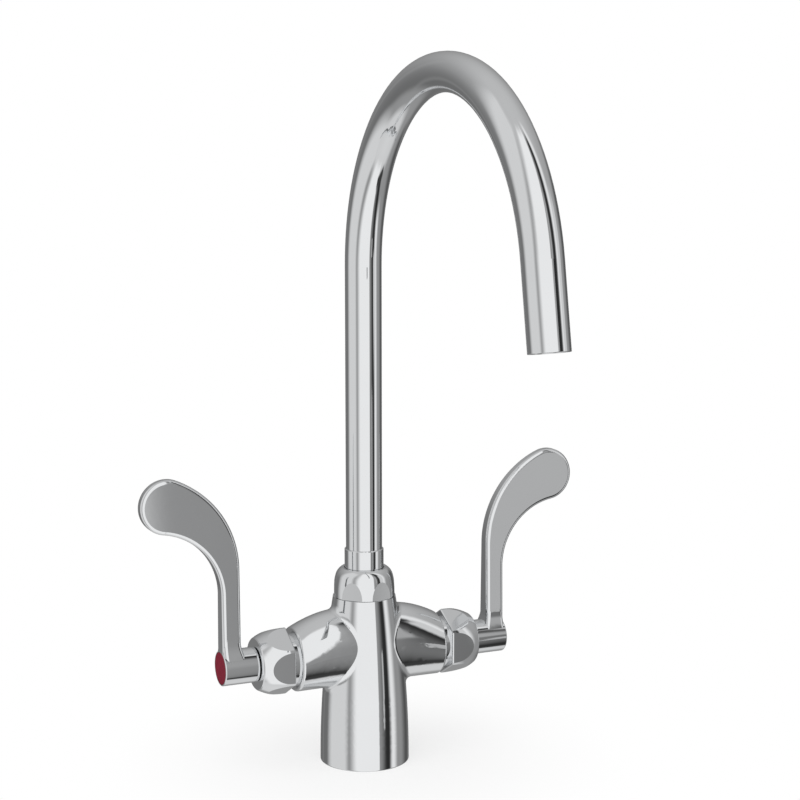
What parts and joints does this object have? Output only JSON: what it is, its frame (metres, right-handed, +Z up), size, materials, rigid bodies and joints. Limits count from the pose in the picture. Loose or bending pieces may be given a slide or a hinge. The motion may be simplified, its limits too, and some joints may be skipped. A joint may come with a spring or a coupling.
{
  "type": "deck mount kitchen faucet",
  "caption": "Chrome deck mount kitchen faucet: tapered column with side arms, wrist-blade lever valves and a swivelling gooseneck spout held by a domed nut.",
  "frame": {"origin": "on the deck, at the mouth of the stud hole on the column's axis", "axes": "+Z up along the column, -Y along the spout (the front), -X the hot side and +X the cold side"},
  "size_m": [0.2446, 0.2338, 0.3712],
  "materials": {
    "chrome": "polished plate",
    "brass": "machined",
    "steel": "bright stainless",
    "rubber": "matt",
    "ceramic": "lapped",
    "slip_plastic": "smooth moulded",
    "outlet_plastic": "moulded",
    "red_index": "glossy moulded",
    "blue_index": "glossy moulded"
  },
  "bodies": {
    "root": {"body_casting": "chrome", "deck_gasket": "rubber", "spout_nut": "chrome", "swivel_bearing": "slip_plastic", "friction_ring": "slip_plastic", "hot_bonnet_nut": "chrome", "hot_cartridge_body": "brass", "hot_cartridge_oring": "rubber", "hot_fixed_disc": "ceramic", "hot_seat_seal": "rubber", "hot_slip_ring": "slip_plastic", "cold_bonnet_nut": "chrome", "cold_cartridge_body": "brass", "cold_cartridge_oring": "rubber", "cold_fixed_disc": "ceramic", "cold_seat_seal": "rubber", "cold_slip_ring": "slip_plastic"},
    "spout": {"spout_tube": "chrome", "spout_nipple": "chrome", "spout_orings": "rubber", "outlet_housing": "outlet_plastic", "outlet_screen": "outlet_plastic", "outlet_washer": "rubber"},
    "hot_lever": {"hot_handle": "chrome", "hot_handle_screw": "steel", "hot_stem": "brass", "hot_stem_orings": "rubber", "hot_stem_clip": "steel", "hot_moving_disc": "ceramic", "hot_index": "red_index"},
    "cold_lever": {"cold_handle": "chrome", "cold_handle_screw": "steel", "cold_stem": "brass", "cold_stem_orings": "rubber", "cold_stem_clip": "steel", "cold_moving_disc": "ceramic", "cold_index": "blue_index"}
  },
  "joints": [
    {"name": "spout_swivel", "type": "hinge", "parent": "root", "child": "spout", "pos_m": [0, 0, 0.1], "axis": [0, 0, 1], "continuous": true},
    {"name": "hot_handle_turn", "type": "hinge", "parent": "root", "child": "hot_lever", "pos_m": [-0.07, 0, 0.0591], "axis": [1, 0, 0], "range_deg": [0, 90]},
    {"name": "cold_handle_turn", "type": "hinge", "parent": "root", "child": "cold_lever", "pos_m": [0.07, 0, 0.0591], "axis": [1, 0, 0], "range_deg": [0, 90]}
  ]
}
